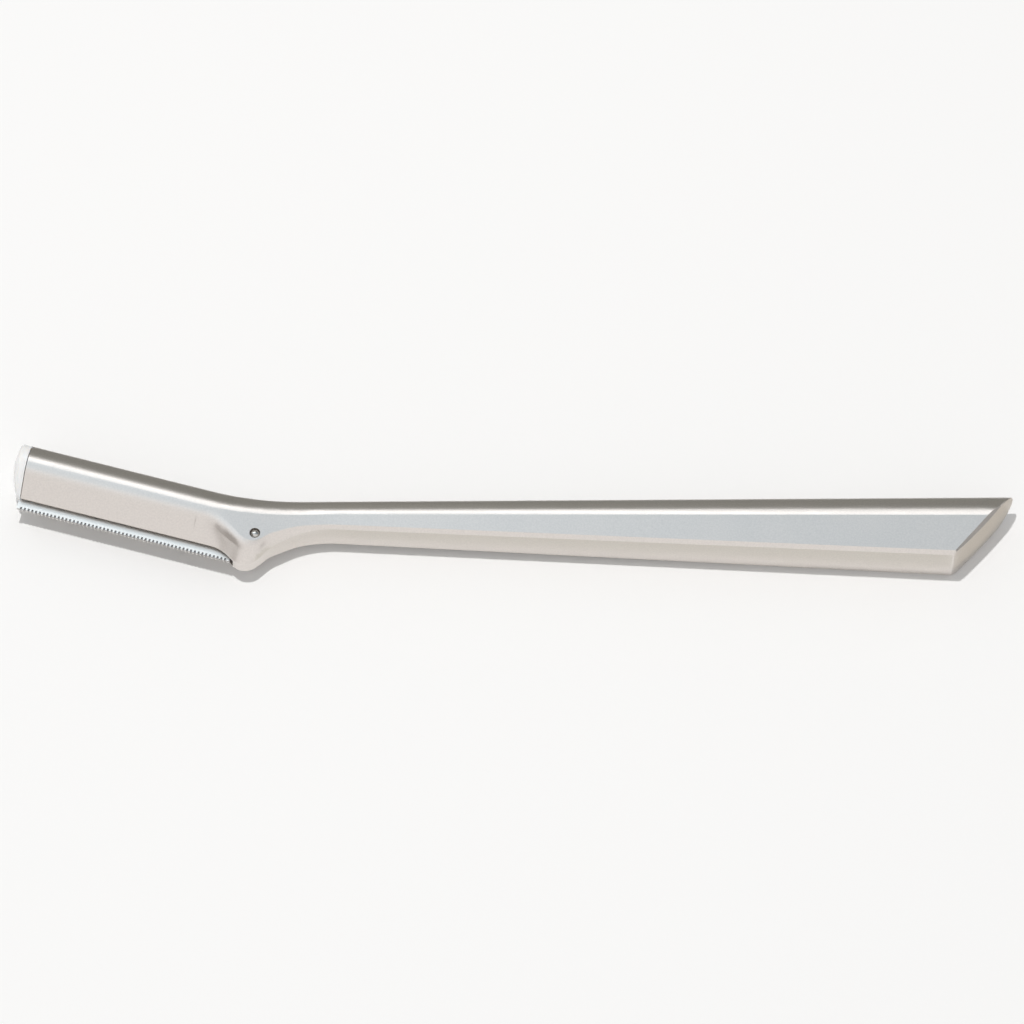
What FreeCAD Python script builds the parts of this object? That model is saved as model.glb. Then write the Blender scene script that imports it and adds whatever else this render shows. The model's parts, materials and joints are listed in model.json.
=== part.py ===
import FreeCAD
import Part
import math
import os

V = FreeCAD.Vector
UP = V(0, 0, 1)

# An eyebrow razor that lies on its side. Lengths are in millimetres and angles in degrees.
# Plan places are measured from the corner where the back lines of the handle and the head meet:
# x runs along the handle to its slanted end, y runs to the back, z is up from the middle plane.
# Places in the head use the same corner with x turned along the head, so its mouth has a minus x.

# Handle bar
handle_length = 106.2
waist_place = 12.0
waist_width = 5.1
waist_thickness = 6.0
end_place = 97.5
end_width = 9.95
end_thickness = 8.0
end_face_radius = 65.0
end_bevel = 0.12
end_flat_bevel = 0.16
bar_edge_bevel = 0.53

# Head sheath
head_bend = 15.6
head_length = 32.0
head_thickness = 7.0
head_flat = 1.3
head_depth = 8.2
head_shoulder_round = 3.3
lip_thickness = 2.3
mouth_skew = 3.4
back_wall = 0.9
flank_wall = 0.7
slot_width = 1.8
socket_floor = 0.5

# Neck and heel
bend_reach = 6.4
neck_reach = 7.0
flat_end = 4.8
flat_end_round = 4.5
heel_start = 2.7
heel_start_round = 5.2
heel_top_place = -0.4
heel_top_depth = 8.75
heel_top_round = 3.2
heel_tip_place = -1.5
heel_tip_depth = 10.7
heel_tip_round = 3.8
heel_blend_share = 0.3
heel_blend_round = 4.0
throat_place = 7.5
throat_round = 16.0
neck_sections = 27
shoulder_fade_share = 0.9
shoulder_room_share = 0.9

# Catch pin
pin_diameter = 1.5
pin_place = 1.67
pin_depth = 5.62
pin_dome_radius = 0.8
pin_proud = 0.05

# Blade carrier
slide_clearance = 0.1
seam = 0.1
rail_depth = 6.9
rail_end_gap = 0.2
nose_reach = 2.1
nose_radius = 9.5
nose_centre_depth = 2.5
nose_round = 0.65
nose_lip_round = 0.8
arm_height = 2.0
arm_thickness = 0.9
arm_root = 0.2
arm_flex_room = 0.25
lug_length = 0.6
lug_height = 0.27
lug_play = 0.1
pin_clearance = 0.05
catch_depth = 0.23
peg_diameter = 1.2
peg_fit = 0.05
peg_depth = 4.7
peg_count = 3
peg_end_share = 0.14

# Blade and guard combs
blade_thickness = 0.25
guard_thickness = 0.2
guard_tip_depth = 9.46
edge_setback = 0.1
pack_back_depth = 3.4
bevel_height = 0.75
pack_end_gap = 0.3
tooth_pitch = 0.55
tooth_gap = 0.32
tooth_root = 0.24
tooth_depth = 0.5

# Shared by all cuts
overrun = 3.0


def smooth(share):
    """Ease from 0 to 1 with level ends."""
    return share * share * (3 - 2 * share)


def between(low, high, share):
    return low + (high - low) * share


def plan_vector(degrees):
    """Unit vector in plan that is turned by an angle from x."""
    angle = math.radians(degrees)
    return V(math.cos(angle), math.sin(angle), 0)


HEAD_ALONG = plan_vector(-head_bend)
HEAD_BACK = plan_vector(90 - head_bend)
HALF_HEAD = head_thickness / 2
HALF_LIP = lip_thickness / 2
HALF_SLOT = slot_width / 2
HEAD_SHOULDER = HALF_HEAD + head_flat
FRONT_SLOPE = (end_width - waist_width) / (end_place - waist_place)
TAPER = (end_thickness - waist_thickness) / (end_place - waist_place)
HALF_PACK = blade_thickness / 2 + guard_thickness
PACK_TIP = -head_length
PACK_HEEL = -socket_floor - rail_end_gap - pack_end_gap


def head_place(along, back):
    """A plan place from its distances along the head and towards its back."""
    return HEAD_ALONG * along + HEAD_BACK * back


def front_line(place):
    """Depth of the handle's straight front below its back line."""
    return waist_width + FRONT_SLOPE * (place - waist_place)


def bar_thickness(place):
    return waist_thickness + TAPER * (place - waist_place)


def on_head(shape):
    """Turn a shape that was made along x into the head's direction."""
    turned = shape.copy()
    turned.rotate(V(0, 0, 0), UP, -head_bend)
    return turned


def box(low, high):
    size = high - low
    return Part.makeBox(size.x, size.y, size.z, low)


def rounded_path(points, radii):
    """Wire through plan points with an arc of the given radius at each inner point."""
    edges = []
    start = points[0]
    for before, corner, after, radius in zip(points, points[1:], points[2:], radii):
        inward = (before - corner).normalize()
        outward = (after - corner).normalize()
        half_angle = inward.getAngle(outward) / 2
        room = min((before - corner).Length, (after - corner).Length) / 2
        reach = min(radius / math.tan(half_angle), room)
        arc_radius = reach * math.tan(half_angle)
        bisector = (inward + outward).normalize()
        middle = corner + bisector * (arc_radius / math.sin(half_angle) - arc_radius)
        arc_start = corner + inward * reach
        arc_end = corner + outward * reach
        if (arc_start - start).Length > Part.Precision.confusion():
            edges.append(Part.LineSegment(start, arc_start).toShape())
        edges.append(Part.Arc(arc_start, middle, arc_end).toShape())
        start = arc_end
    edges.append(Part.LineSegment(start, points[-1]).toShape())
    return Part.Wire(edges)


def section(at, back, thickness, shoulder, front, shoulder_round, bevel_share):
    """Closed outline across the bar: round back, flat sides, shoulders, walls and a narrow front.

    The shoulders are round at a bevel share of 0, and come near to a straight bevel at 1.
    """
    half = thickness / 2

    def spot(depth, height):
        return at - back * depth + UP * height

    corner = V(shoulder, half, 0)
    lip = V(front, HALF_LIP, 0)
    wall = (lip - corner).normalize()
    flat = V(-1, 0, 0)
    half_angle = flat.getAngle(wall) / 2
    reach = min(shoulder_round / math.tan(half_angle), (shoulder - half) * shoulder_room_share)
    radius = reach * math.tan(half_angle)
    bisector = (flat + wall).normalize()
    flat_side = corner + flat * reach
    wall_side = corner + wall * reach
    bowed = corner + bisector * (radius / math.sin(half_angle) - radius)
    straight = (flat_side + wall_side) * 0.5
    middle = bowed + (straight - bowed) * bevel_share
    edges = [Part.Arc(spot(half, -half), spot(0, 0), spot(half, half)).toShape()]

    def line(first, second):
        edges.append(Part.LineSegment(first, second).toShape())

    line(spot(half, half), spot(flat_side.x, flat_side.y))
    edges.append(Part.Arc(spot(flat_side.x, flat_side.y), spot(middle.x, middle.y),
                          spot(wall_side.x, wall_side.y)).toShape())
    line(spot(wall_side.x, wall_side.y), spot(lip.x, lip.y))
    line(spot(lip.x, lip.y), spot(lip.x, -lip.y))
    line(spot(lip.x, -lip.y), spot(wall_side.x, -wall_side.y))
    edges.append(Part.Arc(spot(wall_side.x, -wall_side.y), spot(middle.x, -middle.y),
                          spot(flat_side.x, -flat_side.y)).toShape())
    line(spot(flat_side.x, -flat_side.y), spot(half, -half))
    return Part.Wire(edges)


def plan_curves():
    """The front edge of the flat sides, and the foremost line with the lip and the heel."""
    far_end = handle_length + overrun
    mouth = -head_length - overrun
    heel_top = V(heel_top_place, -heel_top_depth, 0)
    throat = V(throat_place, -front_line(throat_place), 0)
    far_front = V(far_end, -front_line(far_end), 0)
    flat_edge = rounded_path(
        [head_place(mouth, -HEAD_SHOULDER), head_place(-flat_end, -HEAD_SHOULDER), heel_top,
         throat, far_front],
        [flat_end_round, heel_top_round, throat_round])
    lip_edge = rounded_path(
        [head_place(mouth, -head_depth), head_place(-heel_start, -head_depth),
         V(heel_tip_place, -heel_tip_depth, 0),
         heel_top + (throat - heel_top) * heel_blend_share, throat, far_front],
        [heel_start_round, heel_tip_round, heel_blend_round, throat_round])
    return flat_edge, lip_edge


def back_station(run):
    """Point and back direction on the back line, at a run from the head end of the neck."""
    straight = neck_reach - bend_reach
    radius = bend_reach / math.tan(math.radians(head_bend) / 2)
    arc = radius * math.radians(head_bend)
    bend_start = head_place(-bend_reach, 0)
    if run <= straight:
        return head_place(run - neck_reach, 0), HEAD_BACK
    if run <= straight + arc:
        back = plan_vector(90 - head_bend + math.degrees((run - straight) / radius))
        return bend_start + (HEAD_BACK - back) * radius, back
    return V(bend_reach + run - straight - arc, 0, 0), V(0, 1, 0)


def neck_length():
    radius = bend_reach / math.tan(math.radians(head_bend) / 2)
    return neck_reach - bend_reach + radius * math.radians(head_bend) + waist_place - bend_reach


def neck_thickness(share):
    """Thickness at a share of the neck's run, from the head's to the bar's."""
    bar_there = bar_thickness(waist_place - neck_length() * (1 - share))
    return between(head_thickness, bar_there, smooth(share))


def neck_wires(bar):
    """Outlines across the neck, from the head's section to the bar's own outline."""
    flat_edge, lip_edge = plan_curves()
    length = neck_length()
    sight = head_depth + heel_tip_depth
    wires = []
    for index in range(neck_sections - 1):
        share = index / (neck_sections - 1)
        at, back = back_station(length * share)
        ray = Part.LineSegment(at, at - back * sight).toShape()
        shoulder = (flat_edge.distToShape(ray)[1][0][0] - at).Length
        front = (lip_edge.distToShape(ray)[1][0][0] - at).Length
        thickness = neck_thickness(share)
        fade = smooth(min(1, share / shoulder_fade_share))
        shoulder_round = between(head_shoulder_round, bar_edge_bevel, fade)
        wires.append(section(at, back, thickness, shoulder, front, shoulder_round, smooth(share)))
    return wires + [waist_outline(bar)]


def head_outline():
    """The head's outer section, square to the head at its corner."""
    return section(V(0, 0, 0), V(0, 1, 0), head_thickness, HEAD_SHOULDER, head_depth,
                   head_shoulder_round, 0)


def inner_outline(gap, front, height):
    """The socket's section, or the rail's when the gap is wider: the head's section drawn in."""
    radius = HALF_HEAD - back_wall - gap
    corner = V(HEAD_SHOULDER, HALF_HEAD, 0)
    wall = V(head_depth, HALF_LIP, 0) - corner
    slope = wall.y / wall.x
    drop = (flank_wall + gap) * math.sqrt(1 + slope * slope)

    def depth_at(level):
        return corner.x + (level - corner.y + drop) / slope

    low = height if height else flank_level(gap, front)
    edge = depth_at(low)
    shoulder = depth_at(radius)

    def spot(depth, level):
        return V(0, -depth, level)

    corners = [spot(HALF_HEAD, radius), spot(shoulder, radius), spot(edge, low)]
    if height:
        corners.append(spot(front, low))
    corners = corners + [spot(-place.y, -place.z) for place in reversed(corners)]
    back = Part.Arc(spot(HALF_HEAD, -radius), spot(HALF_HEAD - radius, 0),
                    spot(HALF_HEAD, radius)).toShape()
    return Part.Wire([back] + Part.makePolygon(corners).Edges)


def flank_level(gap, depth):
    """Height of the socket's flank, drawn in by a gap, at a depth."""
    corner = V(HEAD_SHOULDER, HALF_HEAD, 0)
    wall = V(head_depth, HALF_LIP, 0) - corner
    slope = wall.y / wall.x
    return corner.y - (flank_wall + gap) * math.sqrt(1 + slope * slope) + slope * (depth - corner.x)


def along_head(wire, start, end):
    """Run a section that stands at the corner from one place along the head to another."""
    solid = Part.Face(wire).extrude(V(end - start, 0, 0))
    solid.translate(V(start, 0, 0))
    return solid


def mouth_block(offset):
    """All that lies outside the mouth, moved out by an offset."""
    reach = head_length
    block = box(V(-reach, -reach, -reach), V(0, reach, reach))
    block.translate(V(-head_length - offset, -HALF_HEAD, 0))
    block.rotate(V(-head_length, -HALF_HEAD, 0), UP, mouth_skew)
    return block


def end_chord():
    """Front corner, tip and outward direction of the slanted end."""
    corner = V(end_place, -front_line(end_place), 0)
    tip = V(handle_length, 0, 0)
    chord = tip - corner
    return corner, tip, V(chord.y, -chord.x, 0).normalize()


def end_block():
    """All that lies beyond the slanted, slightly bowed end face."""
    corner, tip, normal = end_chord()
    chord = tip - corner
    rise = end_face_radius - math.sqrt(end_face_radius ** 2 - (chord.Length / 2) ** 2)
    middle = (corner + tip) * 0.5
    centre = middle + normal * (rise - end_face_radius)
    reach = chord.Length
    disc = Part.makeCylinder(end_face_radius, end_thickness * 2, centre - UP * end_thickness)
    block = box(V(0, -reach, -end_thickness), V(reach, reach, end_thickness))
    block.rotate(V(0, 0, 0), UP, math.degrees(math.atan2(normal.y, normal.x)))
    block.translate(middle - normal * rise)
    return block.cut(disc)


def handle_bar():
    """The tapered D bar from the waist to its slanted end, with its bevelled edges."""
    slope = TAPER / 2
    tilt = math.degrees(math.atan(slope))
    apex = waist_place - waist_thickness / 2 / slope
    near = waist_place - apex - overrun
    far = handle_length - apex + overrun
    ends = []
    for place in (waist_place, end_place):
        spot = V(place - apex, -front_line(place), 0)
        ends.append(FreeCAD.Rotation(UP, tilt).multVec(spot))
    fall = (ends[1].y - ends[0].y) / (ends[1].x - ends[0].x)
    near_front = ends[0].y + fall * (near - ends[0].x)
    far_front = ends[0].y + fall * (far - ends[0].x)
    cone = Part.makeCone(near * slope, far * slope, far - near, V(near, 0, 0), V(1, 0, 0))
    back = cone.common(box(V(near, 0, -end_thickness), V(far, end_thickness, end_thickness)))
    front = Part.makeWedge(0, near, -near * slope, -far * slope, 0,
                           -near_front, far, near * slope, far * slope, -far_front)
    front.rotate(V(0, 0, 0), UP, -90)
    bar = back.fuse(front).removeSplitter()
    long_edges = [edge for edge in bar.Edges if edge.Length > handle_length / 2
                  and edge.CenterOfMass.y < (near_front + far_front) / 3]
    bar = bar.makeChamfer(bar_edge_bevel, long_edges)
    bar.rotate(V(0, 0, 0), UP, -tilt)
    bar.translate(V(apex, 0, 0))
    reach = handle_length
    neck_side = box(V(waist_place - reach, -reach, -reach), V(waist_place, reach, reach))
    bar = bar.cut([end_block(), neck_side])
    bar = bar.makeChamfer(end_bevel, end_face(bar).Edges)
    low = end_flat_wedge()
    return bar.cut([low, low.mirror(V(0, 0, 0), UP)])


def end_flat_wedge():
    """What a straight bevel takes off between the lower flat side and the end face."""
    corner, tip, normal = end_chord()
    along = (tip - corner).normalize()
    start = corner - along * overrun - normal * end_flat_bevel
    start.z = -bar_thickness(start.x) / 2
    reach = end_thickness / 2
    foot = start - (normal + UP) * overrun
    top = start + (normal + UP) * reach
    wedge = Part.makePolygon([foot, foot + normal * (reach + overrun), top, foot])
    run = along * ((tip - corner).Length + overrun)
    return Part.Face(wedge).extrude(run - UP * (TAPER / 2 * run.x))


def waist_outline(bar):
    """The bar's outline where the neck meets it, with its front in three as the neck's is."""
    face = min(bar.Faces, key=lambda side: side.CenterOfMass.x)
    front = min(face.Edges, key=lambda edge: edge.CenterOfMass.y)
    rest = [edge for edge in face.Edges if not edge.isSame(front)]
    low, high = sorted((vertex.Point for vertex in front.Vertexes), key=lambda spot: spot.z)
    spots = [low, V(low.x, low.y, -HALF_LIP), V(low.x, low.y, HALF_LIP), high]
    loop = Part.sortEdges(rest + Part.makePolygon(spots).Edges)[0]
    first = max(range(len(loop)), key=lambda index: loop[index].Length)
    return Part.Wire(loop[first:] + loop[:first])


def end_face(bar):
    """The bowed face at the handle's slanted end."""
    bowed = [face for face in bar.Faces if isinstance(face.Surface, Part.Cylinder)
             and face.Surface.Radius > end_thickness]
    return max(bowed, key=lambda face: face.Area)


def handle():
    """The cast handle: bar, neck and hollow head in one piece."""
    bar = handle_bar()
    neck = Part.makeLoft(neck_wires(bar), True, False)
    sheath = along_head(head_outline(), -head_length - overrun, -neck_reach)
    sheath = on_head(sheath.cut(mouth_block(0)))
    body = sheath.fuse([neck, bar])
    socket = along_head(inner_outline(0, head_depth + overrun, HALF_SLOT),
                        -head_length - overrun, -socket_floor)
    half_pocket = arm_height / 2 + slide_clearance * 2
    pocket = box(V(-socket_floor - arm_root, -pin_back() - catch_depth, -half_pocket),
                 V(arm_tip() + rail_end_gap, -arm_back() + arm_flex_room, half_pocket))
    bore = Part.makeCylinder(pin_diameter / 2, head_thickness * 2,
                             V(pin_place, -pin_depth, -head_thickness))
    return body.cut([on_head(socket), on_head(pocket), on_head(bore)])


def pin_back():
    """Depth of the pin's side that faces the back."""
    return pin_depth - pin_diameter / 2


def arm_front():
    """Depth of the snap arm's side towards the pin, with the arm sprung open."""
    return pin_back() - pin_clearance - lug_height


def arm_back():
    return arm_front() - arm_thickness


def lug_place():
    return pin_place + pin_diameter / 2 + lug_play


def arm_tip():
    return lug_place() + lug_length


def catch_pin():
    """Cross pin with a dome at each end."""
    radius = pin_diameter / 2
    top = neck_top() + pin_proud
    shoulder = top - pin_dome_radius + math.sqrt(pin_dome_radius ** 2 - radius ** 2)
    profile = Part.Wire([
        Part.LineSegment(V(0, 0, -top), V(0, 0, top)).toShape(),
        Part.Arc(V(0, 0, top), dome_spot(top, radius / 2), V(radius, 0, shoulder)).toShape(),
        Part.LineSegment(V(radius, 0, shoulder), V(radius, 0, -shoulder)).toShape(),
        Part.Arc(V(radius, 0, -shoulder), mirrored(dome_spot(top, radius / 2)),
                 V(0, 0, -top)).toShape()])
    pin = Part.Face(profile).revolve(V(0, 0, 0), UP, 360)
    pin.translate(V(pin_place, -pin_depth, 0))
    return on_head(pin)


def dome_spot(top, radius):
    return V(radius, 0, top - pin_dome_radius + math.sqrt(pin_dome_radius ** 2 - radius ** 2))


def mirrored(place):
    return V(place.x, place.y, -place.z)


def neck_top():
    """Height of the neck's flat side at the pin."""
    return neck_thickness((neck_reach + pin_place) / neck_length()) / 2


def pack_space(half):
    """The room that the blade and combs take in the rail and the nose."""
    return box(V(PACK_TIP - pin_clearance, -head_depth - overrun, -half),
               V(PACK_HEEL + pin_clearance, -pack_back_depth, half))


def peg_places():
    first = between(PACK_TIP, PACK_HEEL, peg_end_share)
    last = between(PACK_HEEL, PACK_TIP, peg_end_share)
    return [between(first, last, index / (peg_count - 1)) for index in range(peg_count)]


def pegs(radius, low, high):
    return [Part.makeCylinder(radius, high - low, V(place, -peg_depth, low)) for place in peg_places()]


def rail(start, end):
    return along_head(inner_outline(slide_clearance, rail_depth, 0), start, end)


def half_space(sign):
    """All above the middle plane, or all below it."""
    reach = head_length + neck_reach
    low = V(-reach, -reach, min(0, sign * reach))
    high = V(reach, reach, max(0, sign * reach))
    return box(low, high)


def nose():
    """The domed end that closes the mouth, flush with the head."""
    blank = along_head(head_outline(), -head_length - nose_reach - overrun, -head_length + overrun)
    lip_edges = [edge for edge in blank.Edges if edge.BoundBox.YMax < seam - head_depth
                 and edge.BoundBox.XLength > overrun]
    blank = blank.makeFillet(nose_lip_round, lip_edges)
    dome = Part.makeSphere(nose_radius)
    dome.translate(V(-head_length - nose_reach + nose_radius, -nose_centre_depth, 0))
    cap = blank.common(mouth_block(seam)).common(dome)
    rim = [edge for face in cap.Faces if isinstance(face.Surface, Part.Sphere)
           for edge in face.Edges]
    return cap.makeFillet(nose_round, rim)


def blade_carrier():
    """Nose, lower half of the rail, snap arm and staking pegs in one moulding."""
    rail_end = -socket_floor - rail_end_gap
    lower = rail(-head_length - seam - slide_clearance - nose_round, rail_end).common(half_space(-1))
    body = nose().fuse([lower, snap_arm(rail_end - arm_root)]).cut(pack_space(HALF_PACK))
    peg_top = flank_level(slide_clearance * 2, peg_depth + peg_diameter / 2)
    body = body.fuse(pegs(peg_diameter / 2, -HALF_PACK - arm_root, peg_top)).removeSplitter()
    return on_head(body)


def snap_arm(root):
    """Springy arm that passes behind the pin, with a ramped lug past it."""
    foot = -arm_height / 2
    ramp = lug_length / 2
    spots = [V(root, -arm_back(), foot), V(arm_tip(), -arm_back(), foot),
             V(arm_tip(), -arm_front(), foot), V(arm_tip() - ramp, -arm_front() - lug_height, foot),
             V(lug_place(), -arm_front() - lug_height, foot), V(lug_place(), -arm_front(), foot),
             V(root, -arm_front(), foot)]
    return Part.Face(Part.makePolygon(spots + spots[:1])).extrude(UP * arm_height)


def carrier_cap():
    """Upper half of the rail."""
    rail_end = PACK_HEEL
    upper = rail(-head_length - overrun, rail_end).common(half_space(1))
    upper = upper.cut(mouth_block(0)).cut(pack_space(HALF_PACK))
    holes = pegs(peg_diameter / 2 + peg_fit, 0, head_thickness)
    return on_head(upper.cut(holes))


def blade():
    """Steel strip with a ground edge."""
    half = blade_thickness / 2
    edge = guard_tip_depth - edge_setback
    spots = [V(0, -pack_back_depth, -half), V(0, -pack_back_depth, half),
             V(0, -edge + bevel_height, half), V(0, -edge, 0), V(0, -edge + bevel_height, -half)]
    strip = along_head(Part.makePolygon(spots + spots[:1]), PACK_TIP, PACK_HEEL)
    holes = pegs(peg_diameter / 2 + peg_fit, -head_thickness, head_thickness)
    return on_head(strip.cut(holes))


def comb_outline():
    """Strip outline with a row of tapered gaps between the teeth."""
    length = PACK_HEEL - PACK_TIP
    count = int((length - tooth_pitch) / tooth_pitch)
    first = (PACK_TIP + PACK_HEEL - (count - 1) * tooth_pitch) / 2
    tip = -guard_tip_depth
    root = tip + tooth_depth
    spots = [V(PACK_TIP, -pack_back_depth, 0), V(PACK_TIP, tip, 0)]
    for index in range(count):
        centre = first + index * tooth_pitch
        spots.append(V(centre - tooth_gap / 2, tip, 0))
        spots.append(V(centre - tooth_root / 2, root, 0))
        spots.append(V(centre + tooth_root / 2, root, 0))
        spots.append(V(centre + tooth_gap / 2, tip, 0))
    spots += [V(PACK_HEEL, tip, 0), V(PACK_HEEL, -pack_back_depth, 0)]
    return Part.makePolygon(spots + spots[:1])


def guard_comb(low):
    """Thin comb that lies on one side of the blade."""
    strip = Part.Face(comb_outline()).extrude(UP * guard_thickness)
    strip.translate(UP * low)
    holes = pegs(peg_diameter / 2 + peg_fit, -head_thickness, head_thickness)
    return on_head(strip.cut(holes))


def main():
    nodes = {
        "handle": handle(),
        "catch_pin": catch_pin(),
        "blade_carrier": blade_carrier(),
        "carrier_cap": carrier_cap(),
        "blade": blade(),
        "guard_comb_upper": guard_comb(blade_thickness / 2),
        "guard_comb_lower": guard_comb(-blade_thickness / 2 - guard_thickness),
    }
    bounds = Part.makeCompound(list(nodes.values())).optimalBoundingBox()
    to_origin = V(-bounds.Center.x, -bounds.Center.y, -bounds.ZMin)
    os.makedirs("parts", exist_ok=True)
    for name, shape in nodes.items():
        shape.translate(to_origin)
        shape.exportStep("parts/" + name + ".step")
        print(name, "solids", len(shape.Solids), "valid", shape.isValid(),
              "volume", round(shape.Volume, 3), "faces", len(shape.Faces))
    print("corner of the back lines at", to_origin)
    print("size", bounds.XLength, bounds.YLength, bounds.ZLength)
    print("slide direction", HEAD_ALONG * -1)


main()
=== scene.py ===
import json
import math

import bmesh
import bpy
from bpy.props import FloatProperty, FloatVectorProperty, PointerProperty
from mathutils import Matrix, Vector


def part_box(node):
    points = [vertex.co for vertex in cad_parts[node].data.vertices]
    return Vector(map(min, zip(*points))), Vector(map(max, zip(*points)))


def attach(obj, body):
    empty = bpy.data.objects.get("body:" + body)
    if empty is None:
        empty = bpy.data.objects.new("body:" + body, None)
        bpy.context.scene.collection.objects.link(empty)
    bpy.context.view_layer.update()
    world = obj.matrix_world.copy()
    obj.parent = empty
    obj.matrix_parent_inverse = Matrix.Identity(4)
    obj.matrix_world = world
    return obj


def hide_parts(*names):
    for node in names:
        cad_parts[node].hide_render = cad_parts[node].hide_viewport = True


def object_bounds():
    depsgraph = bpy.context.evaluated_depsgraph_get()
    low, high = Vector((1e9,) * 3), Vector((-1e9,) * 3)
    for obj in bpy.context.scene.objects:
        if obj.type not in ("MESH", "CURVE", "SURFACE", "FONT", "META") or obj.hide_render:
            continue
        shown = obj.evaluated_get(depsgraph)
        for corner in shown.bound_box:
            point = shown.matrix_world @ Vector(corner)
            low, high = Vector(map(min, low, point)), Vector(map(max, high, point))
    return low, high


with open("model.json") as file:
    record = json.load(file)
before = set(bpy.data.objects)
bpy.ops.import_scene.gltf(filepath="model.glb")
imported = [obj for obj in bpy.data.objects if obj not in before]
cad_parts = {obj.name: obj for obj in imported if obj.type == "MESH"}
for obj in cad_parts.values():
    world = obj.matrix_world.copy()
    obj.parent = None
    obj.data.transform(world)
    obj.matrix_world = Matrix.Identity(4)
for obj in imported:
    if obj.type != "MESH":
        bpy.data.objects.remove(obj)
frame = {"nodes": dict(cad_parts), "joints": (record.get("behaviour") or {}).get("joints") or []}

bl_info = {
    "name": "Eyebrow razor",
    "version": (1, 0, 0),
    "blender": (4, 5, 0),
    "location": "3D View > Sidebar > Razor",
    "description": "Finishes a slim metal eyebrow razor and sets it on a pale table",
    "category": "Object",
}

CAD_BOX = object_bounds()

# The way the cartridge slides, the way from the blade's edge to the back, and the head's turn
SLIDE = Vector(frame["joints"][0]["axis"])
BACK = Vector((SLIDE.y, -SLIDE.x, 0))
HEAD_TURN = math.atan2(SLIDE.y, -SLIDE.x)

# Distance that counts as one place in a mesh, and the depth of the gaps in the solid combs
MERGE = 0.000001
SOLID_GAP = 0.0005

# Least and most roughness, share of the darker tone, and how many times wider than deep a relief is
PIN_GLOSS = (0.06, 0.14)
PIN_SHADE = 0.92
BLADE_GLOSS = (0.25, 0.4)
COMB_GLOSS = (0.32, 0.44)
STEEL_SHADE = 0.9
STREAK_FLATNESS = 60
PLASTIC_GLOSS = (0.22, 0.30)
TEXTURE_FLATNESS = 120

# Table: sizes of its grain and patches, and the share of its darker tone
TABLE_GRAIN = 0.002
TABLE_PATCH = 0.4
TABLE_SHADE = 0.99

# Soft lights
LAMP_COLOUR = (1.0, 0.99, 0.98)
PANEL_WIDTH = 1.1

# Curved card: its tones by the share of a half turn from the table, and its fall along the razor
CARD_STEPS = 48
CARD_TONES = [(0.0, (0.30, 0.30, 0.28)), (0.05, (0.27, 0.27, 0.25)), (0.12, (0.24, 0.24, 0.22)),
              (0.20, (0.25, 0.25, 0.23)), (0.31, (0.46, 0.54, 0.60)), (0.36, (0.60, 0.70, 0.78)),
              (0.44, (0.66, 0.74, 0.80)), (0.55, (0.76, 0.76, 0.76))]
CARD_FALL = {"From Min": -0.35, "From Max": 0.45, "To Min": 1.5, "To Max": 0.54}

# Standing flags, in shares of the card's radius
FLAG_STAND = 0.8
NOSE_FLAG = [(-0.6, 0.2), (0.4, 0.2), (0.4, 1.0), (-0.6, 1.0)]
END_FLAG = [(-0.52, 0.1), (-0.2, 0.1), (-0.2, 0.42), (-0.52, 0.42)]

# Flags that lie on the table, in metres
FRONT_FLAG = [(-0.032, -0.0084), (-0.032, -0.020), (0.0612, -0.024), (0.0612, -0.0110),
              (-0.022, -0.0064), (-0.027, -0.0065), (-0.0295, -0.0072)]
END_TABLE_FLAG = [(0.0624, -0.0096), (0.082, -0.0096), (0.094, 0.0045), (0.0744, 0.0045)]


# Properties

class HandleFinish(bpy.types.PropertyGroup):
    """Satin plating of the cast handle."""

    colour: FloatVectorProperty(
        name="Metal colour", description="Colour of the satin plating",
        subtype="COLOR", size=3, min=0, max=1, default=(0.82, 0.77, 0.73))
    shade: FloatVectorProperty(
        name="Metal shade", description="Darker tone in the blasted grain",
        subtype="COLOR", size=3, min=0, max=1, default=(0.67, 0.63, 0.60))
    grain: FloatProperty(
        name="Grain", description="Size of the blasted grain",
        unit="LENGTH", default=0.00024, min=0.00001)
    grain_depth: FloatProperty(
        name="Grain depth", description="Height of the blasted grain",
        unit="LENGTH", default=0.0000034, min=0)
    blotch: FloatProperty(
        name="Blotch", description="Size of the soft patches in the plating",
        unit="LENGTH", default=0.006, min=0.0001)
    gloss_low: FloatProperty(
        name="Least roughness", description="Roughness of the smoothest patches",
        subtype="FACTOR", default=0.29, min=0, max=1)
    gloss_high: FloatProperty(
        name="Most roughness", description="Roughness of the dullest patches",
        subtype="FACTOR", default=0.33, min=0, max=1)


class SteelFinish(bpy.types.PropertyGroup):
    """Steel of the pin, the blade and the combs."""

    pin_colour: FloatVectorProperty(
        name="Pin colour", description="Colour of the polished catch pin",
        subtype="COLOR", size=3, min=0, max=1, default=(0.62, 0.61, 0.59))
    pin_ring: FloatProperty(
        name="Pin ring", description="Width of a turning ring on the pin's dome",
        unit="LENGTH", default=0.00009, min=0.00001)
    comb_colour: FloatVectorProperty(
        name="Comb colour", description="Colour of the bright rolled combs",
        subtype="COLOR", size=3, min=0, max=1, default=(0.98, 0.96, 0.93))
    comb_gap: FloatProperty(
        name="Comb gap", description="Depth of the gaps between the combs' teeth",
        unit="LENGTH", default=0.00031, min=0.0001, max=0.0005)
    blade_colour: FloatVectorProperty(
        name="Blade colour", description="Colour of the ground blade",
        subtype="COLOR", size=3, min=0, max=1, default=(0.30, 0.30, 0.31))
    streak: FloatProperty(
        name="Streak", description="Width of a rolling streak along the strips",
        unit="LENGTH", default=0.00005, min=0.00001)
    streak_run: FloatProperty(
        name="Streak run", description="How many widths a streak runs along a strip",
        default=60, min=1)


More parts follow.
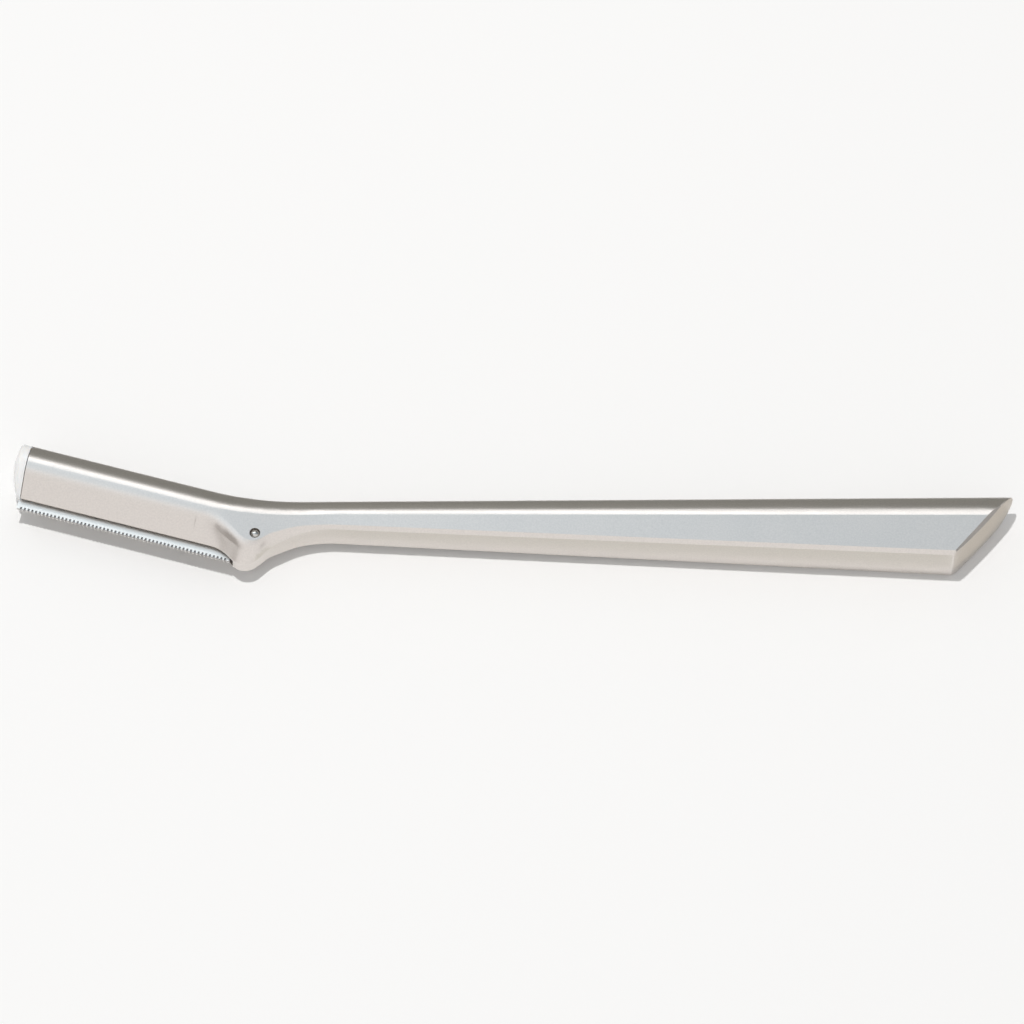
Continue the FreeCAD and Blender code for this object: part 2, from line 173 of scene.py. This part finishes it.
class PlasticFinish(bpy.types.PropertyGroup):
    """White plastic of the blade cartridge."""

    colour: FloatVectorProperty(
        name="Plastic colour", description="Colour of the white plastic",
        subtype="COLOR", size=3, min=0, max=1, default=(0.90, 0.90, 0.89))
    shade: FloatVectorProperty(
        name="Plastic shade", description="Tone of the faint flow patches",
        subtype="COLOR", size=3, min=0, max=1, default=(0.85, 0.85, 0.845))
    flow: FloatProperty(
        name="Flow patch", description="Size of the moulding's flow patches",
        unit="LENGTH", default=0.003, min=0.0001)
    texture: FloatProperty(
        name="Texture", description="Size of the mould's fine texture",
        unit="LENGTH", default=0.00012, min=0.00001)
    glow_depth: FloatProperty(
        name="Glow depth", description="How far light spreads inside the plastic",
        unit="LENGTH", default=0.0006, min=0)


class Stage(bpy.types.PropertyGroup):
    """Table, light and camera."""

    elevation: FloatProperty(
        name="Camera elevation", description="Angle of the view above the table",
        subtype="ANGLE", unit="ROTATION", default=math.radians(66))
    turn: FloatProperty(
        name="Camera turn", description="Turn of the camera about the upright",
        subtype="ANGLE", unit="ROTATION", default=math.radians(-0.34))
    lens: FloatProperty(
        name="Lens", description="Focal length of the camera in millimetres", default=350, min=1)
    view_width: FloatProperty(
        name="View width", description="Width of the table that the picture takes in",
        unit="LENGTH", default=0.14336, min=0.001)
    aim_x: FloatProperty(
        name="Aim along", description="Middle of the picture along the handle",
        unit="LENGTH", default=-0.00013)
    aim_y: FloatProperty(
        name="Aim across", description="Middle of the picture across the handle",
        unit="LENGTH", default=-0.00095)
    floor_colour: FloatVectorProperty(
        name="Table colour", description="Colour of the pale table",
        subtype="COLOR", size=3, min=0, max=1, default=(0.93, 0.93, 0.925))
    floor_size: FloatProperty(
        name="Table size", description="Width of the table", unit="LENGTH", default=3.0, min=0.1)
    key_power: FloatProperty(
        name="Key light", description="Power of the light overhead", unit="POWER", default=7.4)
    key_place: FloatVectorProperty(
        name="Key place", description="Place of the light overhead",
        subtype="TRANSLATION", unit="LENGTH", size=3, default=(-0.12, 0.10, 1.2))
    key_size: FloatProperty(
        name="Key size", description="Width of the light overhead", unit="LENGTH", default=0.03)
    panel_power: FloatProperty(
        name="Panel light", description="Power of the soft panel behind", unit="POWER", default=1.15)
    panel_elevation: FloatProperty(
        name="Panel elevation", description="Angle of the soft panel above the table",
        subtype="ANGLE", unit="ROTATION", default=math.radians(49))
    panel_distance: FloatProperty(
        name="Panel distance", description="Distance of the soft panel", unit="LENGTH", default=0.7)
    panel_height: FloatProperty(
        name="Panel height", description="Height of the soft panel", unit="LENGTH", default=0.16)
    panel_shift: FloatProperty(
        name="Panel shift", description="How far the soft panel stands towards the head",
        unit="LENGTH", default=0.38)
    fill_level: FloatProperty(
        name="Fill light", description="Brightness of the studio that lights the table and the plastic",
        subtype="FACTOR", default=0.52, min=0, max=1)
    backdrop_colour: FloatVectorProperty(
        name="Backdrop colour", description="Colour of the studio behind and in front",
        subtype="COLOR", size=3, min=0, max=1, default=(0.93, 0.92, 0.91))
    flag_gap: FloatProperty(
        name="Flag gap", description="Distance of the grey flag on the table behind the razor",
        unit="LENGTH", default=0.006)
    flag_lift: FloatProperty(
        name="Flag lift", description="Height of the grey flag over the table",
        unit="LENGTH", default=0.0003)
    flag_colour: FloatVectorProperty(
        name="Flag colour", description="Tone of the grey flag behind the razor",
        subtype="COLOR", size=3, min=0, max=1, default=(0.27, 0.27, 0.25))
    nose_flag_colour: FloatVectorProperty(
        name="Side flag colour", description="Tone of the grey flag past the nose",
        subtype="COLOR", size=3, min=0, max=1, default=(0.30, 0.28, 0.26))
    end_flag_colour: FloatVectorProperty(
        name="End flag colour", description="Tone of the dark flag past the handle's end",
        subtype="COLOR", size=3, min=0, max=1, default=(0.02, 0.02, 0.02))
    front_flag_colour: FloatVectorProperty(
        name="Front flag colour", description="Tone of the table that the bar's front mirrors",
        subtype="COLOR", size=3, min=0, max=1, default=(0.75, 0.745, 0.70))
    end_table_colour: FloatVectorProperty(
        name="End table colour", description="Tone of the table that the handle's end mirrors",
        subtype="COLOR", size=3, min=0, max=1, default=(0.62, 0.59, 0.53))
    card_radius: FloatProperty(
        name="Card radius", description="Distance of the curved card", unit="LENGTH", default=1.4)
    card_width: FloatProperty(
        name="Card width", description="Width of the curved card", unit="LENGTH", default=8.0)
    card_sweep: FloatProperty(
        name="Card sweep", description="How far the curved card reaches over the razor",
        subtype="ANGLE", unit="ROTATION", default=math.radians(99))


# Mesh and node helpers

def as_object(name, shape):
    """An object in the scene, made from a bmesh."""
    mesh = bpy.data.meshes.new(name)
    shape.to_mesh(mesh)
    shape.free()
    piece = bpy.data.objects.new(name, mesh)
    bpy.context.scene.collection.objects.link(piece)
    return piece


def fine_comb(node, gap):
    """A copy of a comb with shallower gaps between its teeth, which stands for it in the picture."""
    shape = bmesh.new()
    shape.from_mesh(frame["nodes"][node].data)
    bmesh.ops.remove_doubles(shape, verts=shape.verts, dist=MERGE)
    tip = min(vert.co.dot(BACK) for vert in shape.verts)
    roots = [vert for vert in shape.verts
             if SOLID_GAP / 2 < vert.co.dot(BACK) - tip < SOLID_GAP * 3 / 2]
    bmesh.ops.translate(shape, verts=roots, vec=BACK * (gap - SOLID_GAP))
    piece = as_object(node + "_finish", shape)
    if "custom_normal" in piece.data.attributes:
        piece.data.attributes.remove(piece.data.attributes["custom_normal"])
    piece.data.shade_flat()
    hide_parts(node)
    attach(piece, "cartridge")
    return piece


def wear(piece, material):
    piece.data.materials.clear()
    piece.data.materials.append(material)


def add(tree, kind, inputs=None, **settings):
    """A node with its settings, its values and its links."""
    item = tree.nodes.new(kind)
    for name, value in settings.items():
        setattr(item, name, value)
    for name, value in (inputs or {}).items():
        if isinstance(value, bpy.types.NodeSocket):
            tree.links.new(value, item.inputs[name])
        else:
            item.inputs[name].default_value = value
    return item


def new_group(name, inputs, outputs):
    """A shader node group with named inputs and outputs."""
    group = bpy.data.node_groups.new(name, "ShaderNodeTree")
    for label, kind, default in inputs:
        socket = group.interface.new_socket(label, in_out="INPUT", socket_type=kind)
        socket.default_value = default
    for label, kind in outputs:
        group.interface.new_socket(label, in_out="OUTPUT", socket_type=kind)
    return group, add(group, "NodeGroupInput"), add(group, "NodeGroupOutput")


def new_material(name, **values):
    """A material with one principled shader, whose plain values are set on its sockets."""
    material = bpy.data.materials.new(name)
    material.use_nodes = True
    tree = material.node_tree
    shader = tree.nodes["Principled BSDF"]
    for label, value in values.items():
        shader.inputs[label.replace("_", " ")].default_value = value
    return material, tree, shader


def glow_material(name, **values):
    """A material that only shines, whose plain values are set on its emission's sockets."""
    material = bpy.data.materials.new(name)
    material.use_nodes = True
    tree = material.node_tree
    tree.nodes.clear()
    glow = add(tree, "ShaderNodeEmission", values)
    add(tree, "ShaderNodeOutputMaterial", {"Surface": glow.outputs[0]})
    return material, tree, glow


def opaque(colour):
    return (*colour, 1.0)


def shaded(colour, share):
    """A darker tone of a colour."""
    return [part * share for part in colour]


def grain_group():
    """Fine grain and soft patches on Object coordinates, each from 0 to 1."""
    name = "Grain and patches"
    if name in bpy.data.node_groups:
        return bpy.data.node_groups[name]
    group, ins, outs = new_group(
        name,
        [("Grain size", "NodeSocketFloat", 0.0001), ("Patch size", "NodeSocketFloat", 0.005),
         ("Patch contrast", "NodeSocketFloat", 1.0)],
        [("Grain", "NodeSocketFloat"), ("Patch", "NodeSocketFloat")])
    place = add(group, "ShaderNodeTexCoord").outputs["Object"]
    for label, size, detail in (("Grain", "Grain size", 2.0), ("Patch", "Patch size", 4.0)):
        scale = add(group, "ShaderNodeMath", {0: 1.0, 1: ins.outputs[size]}, operation="DIVIDE")
        noise = add(group, "ShaderNodeTexNoise",
                    {"Vector": place, "Scale": scale.outputs[0], "Detail": detail})
        value = noise.outputs["Fac"]
        if label == "Patch":
            centred = add(group, "ShaderNodeMath", {0: value, 1: 0.5}, operation="SUBTRACT")
            wider = add(group, "ShaderNodeMath",
                        {0: centred.outputs[0], 1: ins.outputs["Patch contrast"], 2: 0.5},
                        operation="MULTIPLY_ADD", use_clamp=True)
            value = wider.outputs[0]
        group.links.new(value, outs.inputs[label])
    return group


def streak_group():
    """Fine streaks along the strips of the cartridge, from 0 to 1."""
    name = "Rolling streaks"
    if name in bpy.data.node_groups:
        return bpy.data.node_groups[name]
    group, ins, outs = new_group(
        name,
        [("Width", "NodeSocketFloat", 0.00005), ("Run", "NodeSocketFloat", 60.0),
         ("Turn", "NodeSocketFloat", HEAD_TURN)],
        [("Streak", "NodeSocketFloat")])
    place = add(group, "ShaderNodeTexCoord").outputs["Object"]
    turned = add(group, "ShaderNodeVectorRotate", {"Vector": place, "Angle": ins.outputs["Turn"]},
                 rotation_type="Z_AXIS")
    share = add(group, "ShaderNodeMath", {0: 1.0, 1: ins.outputs["Run"]}, operation="DIVIDE")
    squeeze = add(group, "ShaderNodeCombineXYZ", {"X": share.outputs[0], "Y": 1.0, "Z": 1.0})
    drawn = add(group, "ShaderNodeVectorMath",
                {0: turned.outputs["Vector"], 1: squeeze.outputs["Vector"]}, operation="MULTIPLY")
    scale = add(group, "ShaderNodeMath", {0: 1.0, 1: ins.outputs["Width"]}, operation="DIVIDE")
    noise = add(group, "ShaderNodeTexNoise",
                {"Vector": drawn.outputs["Vector"], "Scale": scale.outputs[0], "Detail": 3.0})
    group.links.new(noise.outputs["Fac"], outs.inputs["Streak"])
    return group


def placed(tree, group, **values):
    """A group in a material, with its own values."""
    item = add(tree, "ShaderNodeGroup", node_tree=group)
    for label, value in values.items():
        item.inputs[label.replace("_", " ")].default_value = value
    return item


def spread(tree, value, low, high):
    """Map a value from 0 to 1 between two numbers."""
    item = add(tree, "ShaderNodeMapRange", {"Value": value, "To Min": low, "To Max": high})
    return item.outputs["Result"]


def tint(tree, value, first, second):
    """Mix two colours by a value from 0 to 1."""
    item = add(tree, "ShaderNodeMix", data_type="RGBA")
    item.inputs[6].default_value = opaque(first)
    item.inputs[7].default_value = opaque(second)
    tree.links.new(value, item.inputs[0])
    return item.outputs[2]


def raise_surface(tree, shader, height, depth):
    """Give the shader a bump of a real depth."""
    bump = add(tree, "ShaderNodeBump", {"Height": height, "Distance": depth, "Strength": 1.0})
    tree.links.new(bump.outputs["Normal"], shader.inputs["Normal"])


# Materials

def satin_plating(finish):
    material, tree, shader = new_material("satin_plating", Metallic=1.0)
    grain = placed(tree, grain_group(), Grain_size=finish.grain, Patch_size=finish.blotch,
                   Patch_contrast=2.0)
    colour = tint(tree, grain.outputs["Grain"], finish.shade, finish.colour)
    tree.links.new(colour, shader.inputs["Base Color"])
    tree.links.new(spread(tree, grain.outputs["Patch"], finish.gloss_low, finish.gloss_high),
                   shader.inputs["Roughness"])
    raise_surface(tree, shader, grain.outputs["Grain"], finish.grain_depth)
    return material


def polished_pin(finish):
    low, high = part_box("catch_pin")
    middle = (low + high) / 2
    material, tree, shader = new_material("polished_pin", Metallic=1.0)
    place = add(tree, "ShaderNodeTexCoord").outputs["Object"]
    centred = add(tree, "ShaderNodeMapping", {"Vector": place, "Location": -middle,
                                              "Scale": (1.0, 1.0, 0.0)})
    radius = add(tree, "ShaderNodeVectorMath", {0: centred.outputs["Vector"]}, operation="LENGTH")
    turns = add(tree, "ShaderNodeMath", {0: radius.outputs["Value"], 1: math.tau / finish.pin_ring},
                operation="MULTIPLY")
    wave = add(tree, "ShaderNodeMath", {0: turns.outputs[0]}, operation="SINE")
    ring = spread(tree, wave.outputs[0], 0.5, 1.0)
    tree.links.new(spread(tree, ring, *PIN_GLOSS), shader.inputs["Roughness"])
    dark = shaded(finish.pin_colour, PIN_SHADE)
    tree.links.new(tint(tree, ring, dark, finish.pin_colour), shader.inputs["Base Color"])
    return material


def rolled_steel(name, colour, finish, gloss):
    material, tree, shader = new_material(name, Metallic=1.0)
    group = placed(tree, streak_group(), Width=finish.streak, Run=finish.streak_run)
    streak = group.outputs["Streak"]
    dark = shaded(colour, STEEL_SHADE)
    tree.links.new(tint(tree, streak, dark, colour), shader.inputs["Base Color"])
    tree.links.new(spread(tree, streak, *gloss), shader.inputs["Roughness"])
    raise_surface(tree, shader, streak, finish.streak / STREAK_FLATNESS)
    return material


def white_plastic(finish):
    material, tree, shader = new_material(
        "white_plastic", Subsurface_Weight=0.35, Subsurface_Radius=(1.0, 0.9, 0.8),
        Subsurface_Scale=finish.glow_depth, IOR=1.49)
    grain = placed(tree, grain_group(), Grain_size=finish.texture, Patch_size=finish.flow,
                   Patch_contrast=1.6)
    tree.links.new(tint(tree, grain.outputs["Patch"], finish.shade, finish.colour),
                   shader.inputs["Base Color"])
    tree.links.new(spread(tree, grain.outputs["Patch"], *PLASTIC_GLOSS), shader.inputs["Roughness"])
    raise_surface(tree, shader, grain.outputs["Grain"], finish.texture / TEXTURE_FLATNESS)
    return material


# Stage pieces

def floor_material(stage):
    material, tree, shader = new_material("pale_table", Roughness=0.6)
    shader.inputs["Specular IOR Level"].default_value = 0.2
    grain = placed(tree, grain_group(), Grain_size=TABLE_GRAIN, Patch_size=TABLE_PATCH,
                   Patch_contrast=1.0)
    dark = shaded(stage.floor_colour, TABLE_SHADE)
    tree.links.new(tint(tree, grain.outputs["Patch"], dark, stage.floor_colour),
                   shader.inputs["Base Color"])
    return material


def soft_light(name, place, size, power):
    """A rectangular soft light that faces the razor."""
    lamp = bpy.data.lights.new(name, "AREA")
    lamp.shape = "RECTANGLE"
    lamp.size = size[0]
    lamp.size_y = size[1]
    lamp.energy = power
    lamp.color = LAMP_COLOUR
    holder = bpy.data.objects.new(name, lamp)
    holder.location = place
    holder.rotation_euler = (-Vector(place)).to_track_quat("-Z", "Y").to_euler()
    bpy.context.scene.collection.objects.link(holder)
    return holder


def studio_world(stage):
    """A white studio that camera and mirrored rays see, and that lights the rest more softly."""
    world = bpy.data.worlds.new("studio")
    bpy.context.scene.world = world
    world.use_nodes = True
    tree = world.node_tree
    tree.nodes.clear()
    rays = add(tree, "ShaderNodeLightPath")
    sharp = add(tree, "ShaderNodeMath", {0: rays.outputs["Is Camera Ray"],
                                         1: rays.outputs["Is Glossy Ray"]}, operation="MAXIMUM")
    shown = add(tree, "ShaderNodeMath", {0: sharp.outputs[0],
                                         1: rays.outputs["Is Transmission Ray"]}, operation="MAXIMUM")
    level = stage.fill_level
    fill = add(tree, "ShaderNodeBackground", {"Color": opaque((level, level, level)), "Strength": 1.0})
    white = add(tree, "ShaderNodeBackground", {"Color": opaque(stage.backdrop_colour), "Strength": 1.0})
    mix = add(tree, "ShaderNodeMixShader", {0: shown.outputs[0], 1: fill.outputs[0],
                                            2: white.outputs[0]})
    add(tree, "ShaderNodeOutputWorld", {"Surface": mix.outputs[0]})


def reflector(stage):
    """A curved card behind and above the razor, which only its mirrored rays see."""
    shape = bmesh.new()
    half = stage.card_width / 2
    ends = [shape.verts.new((side, stage.card_radius, 0)) for side in (-half, half)]
    rim = shape.edges.new(ends)
    bmesh.ops.spin(shape, geom=[rim, *ends], cent=(0, 0, 0), axis=(1, 0, 0),
                   angle=stage.card_sweep, steps=CARD_STEPS)
    card = as_object("reflector", shape)
    wear(card, card_material())
    mirrored_only(card)


def card_material():
    """Grey at the card's foot, cool and paler overhead, and darker towards the handle's end."""
    material, tree, glow = glow_material("reflector")
    place = add(tree, "ShaderNodeTexCoord").outputs["Object"]
    axes = add(tree, "ShaderNodeSeparateXYZ", {"Vector": place})
    angle = add(tree, "ShaderNodeMath", {0: axes.outputs["Z"], 1: axes.outputs["Y"]},
                operation="ARCTAN2")
    share = add(tree, "ShaderNodeMath", {0: angle.outputs[0], 1: math.pi}, operation="DIVIDE")
    ramp = add(tree, "ShaderNodeValToRGB", {"Fac": share.outputs[0]})
    stops = ramp.color_ramp.elements
    while len(stops) < len(CARD_TONES):
        stops.new(1.0)
    for stop, (at, colour) in zip(stops, CARD_TONES):
        stop.position = at
        stop.color = opaque(colour)
    fall = add(tree, "ShaderNodeMapRange", {"Value": axes.outputs["X"], **CARD_FALL})
    tree.links.new(ramp.outputs["Color"], glow.inputs["Color"])
    tree.links.new(fall.outputs["Result"], glow.inputs["Strength"])
    return material


def flag(name, corners, colour):
    """A flat grey flag that only mirrored rays see."""
    shape = bmesh.new()
    shape.faces.new([shape.verts.new(corner) for corner in corners])
    piece = as_object(name, shape)
    material = glow_material(name, Color=opaque(colour), Strength=1.0)[0]
    wear(piece, material)
    mirrored_only(piece)


def flags(stage):
    """Flags on the table close to the razor, and one that stands past each of its ends."""
    gap = stage.flag_gap
    lift = stage.flag_lift
    reach = stage.card_radius
    bend = Vector((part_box("catch_pin")[0].x, gap, lift))
    left = bend + SLIDE * (reach / -SLIDE.x)
    flag("table_flag", [(reach, gap, lift), (reach, reach, lift), (-reach, reach, lift), left, bend],
         stage.flag_colour)
    past = reach * FLAG_STAND
    flag("nose_flag", [(-past, y * reach, z * reach) for y, z in NOSE_FLAG], stage.nose_flag_colour)
    flag("end_flag", [(past, y * reach, z * reach) for y, z in END_FLAG], stage.end_flag_colour)
    flag("front_flag", [(x, y, lift) for x, y in FRONT_FLAG], stage.front_flag_colour)
    flag("end_table_flag", [(x, y, lift) for x, y in END_TABLE_FLAG], stage.end_table_colour)


def mirrored_only(piece):
    """Set a card on the stage where only mirrored rays see it."""
    piece.visible_camera = False
    piece.visible_diffuse = False
    piece.visible_transmission = False
    piece.visible_shadow = False


def long_camera(stage):
    """A long-lens camera that looks down on the razor's front."""
    aim = Vector((stage.aim_x, stage.aim_y, (CAD_BOX[0][2] + CAD_BOX[1][2]) / 2))
    data = bpy.data.cameras.new("camera")
    data.lens = stage.lens
    distance = stage.view_width * data.lens / data.sensor_width
    away = Vector((math.cos(stage.elevation) * math.sin(stage.turn),
                   -math.cos(stage.elevation) * math.cos(stage.turn), math.sin(stage.elevation)))
    data.clip_end = distance * 4
    camera = bpy.data.objects.new("camera", data)
    camera.location = aim + away * distance
    camera.rotation_euler = (-away).to_track_quat("-Z", "Y").to_euler()
    bpy.context.scene.collection.objects.link(camera)
    bpy.context.scene.camera = camera


# Operators

class RAZOR_OT_handle(bpy.types.Operator):
    """Finish the cast handle in satin plating."""

    bl_idname = "razor.handle"
    bl_label = "Handle"

    def execute(self, context):
        wear(frame["nodes"]["handle"], satin_plating(context.scene.razor_handle))
        return {"FINISHED"}


class RAZOR_OT_catch_pin(bpy.types.Operator):
    """Polish the catch pin."""

    bl_idname = "razor.catch_pin"
    bl_label = "Catch pin"

    def execute(self, context):
        wear(frame["nodes"]["catch_pin"], polished_pin(context.scene.razor_steel))
        return {"FINISHED"}


class RAZOR_OT_carrier(bpy.types.Operator):
    """Finish the two white mouldings of the cartridge."""

    bl_idname = "razor.carrier"
    bl_label = "Blade carrier and cap"

    def execute(self, context):
        plastic = white_plastic(context.scene.razor_plastic)
        for node in ("blade_carrier", "carrier_cap"):
            wear(frame["nodes"][node], plastic)
        return {"FINISHED"}


class RAZOR_OT_strips(bpy.types.Operator):
    """Finish the blade and its two guard combs."""

    bl_idname = "razor.strips"
    bl_label = "Blade and combs"

    def execute(self, context):
        steel = context.scene.razor_steel
        blade = rolled_steel("ground_blade", steel.blade_colour, steel, BLADE_GLOSS)
        wear(frame["nodes"]["blade"], blade)
        combs = rolled_steel("bright_combs", steel.comb_colour, steel, COMB_GLOSS)
        for node in ("guard_comb_upper", "guard_comb_lower"):
            wear(fine_comb(node, steel.comb_gap), combs)
        return {"FINISHED"}


class RAZOR_OT_stage(bpy.types.Operator):
    """Set the table, the light and the camera."""

    bl_idname = "razor.stage"
    bl_label = "Stage"

    def execute(self, context):
        stage = context.scene.razor_stage
        shape = bmesh.new()
        bmesh.ops.create_grid(shape, x_segments=1, y_segments=1, size=stage.floor_size / 2)
        table = as_object("table", shape)
        wear(table, floor_material(stage))
        key = soft_light("key", stage.key_place, (stage.key_size, stage.key_size), stage.key_power)
        key.visible_glossy = False
        rise = stage.panel_elevation
        place = Vector((0, math.cos(rise), math.sin(rise))) * stage.panel_distance
        panel = soft_light("panel", place, (PANEL_WIDTH, stage.panel_height), stage.panel_power)
        panel.location.x = -stage.panel_shift
        panel.visible_diffuse = False
        studio_world(stage)
        reflector(stage)
        flags(stage)
        long_camera(stage)
        context.scene.view_settings.view_transform = "Standard"
        return {"FINISHED"}


class RAZOR_PT_panel(bpy.types.Panel):
    """The razor's pieces and its stage."""

    bl_idname = "RAZOR_PT_panel"
    bl_label = "Eyebrow razor"
    bl_space_type = "VIEW_3D"
    bl_region_type = "UI"
    bl_category = "Razor"

    def draw(self, context):
        for operator in OPERATORS:
            self.layout.operator(operator.bl_idname)


OPERATORS = (RAZOR_OT_handle, RAZOR_OT_catch_pin, RAZOR_OT_carrier, RAZOR_OT_strips, RAZOR_OT_stage)
GROUPS = {"razor_handle": HandleFinish, "razor_steel": SteelFinish, "razor_plastic": PlasticFinish,
          "razor_stage": Stage}


def register():
    for label, group in GROUPS.items():
        bpy.utils.register_class(group)
        setattr(bpy.types.Scene, label, PointerProperty(type=group))
    for operator in OPERATORS:
        bpy.utils.register_class(operator)
    bpy.utils.register_class(RAZOR_PT_panel)


def unregister():
    bpy.utils.unregister_class(RAZOR_PT_panel)
    for operator in reversed(OPERATORS):
        bpy.utils.unregister_class(operator)
    for label, group in reversed(GROUPS.items()):
        delattr(bpy.types.Scene, label)
        bpy.utils.unregister_class(group)


def main():
    register()
    bpy.ops.razor.handle()
    bpy.ops.razor.catch_pin()
    bpy.ops.razor.carrier()
    bpy.ops.razor.strips()
    bpy.ops.razor.stage()


if __name__ == "__main__":
    main()
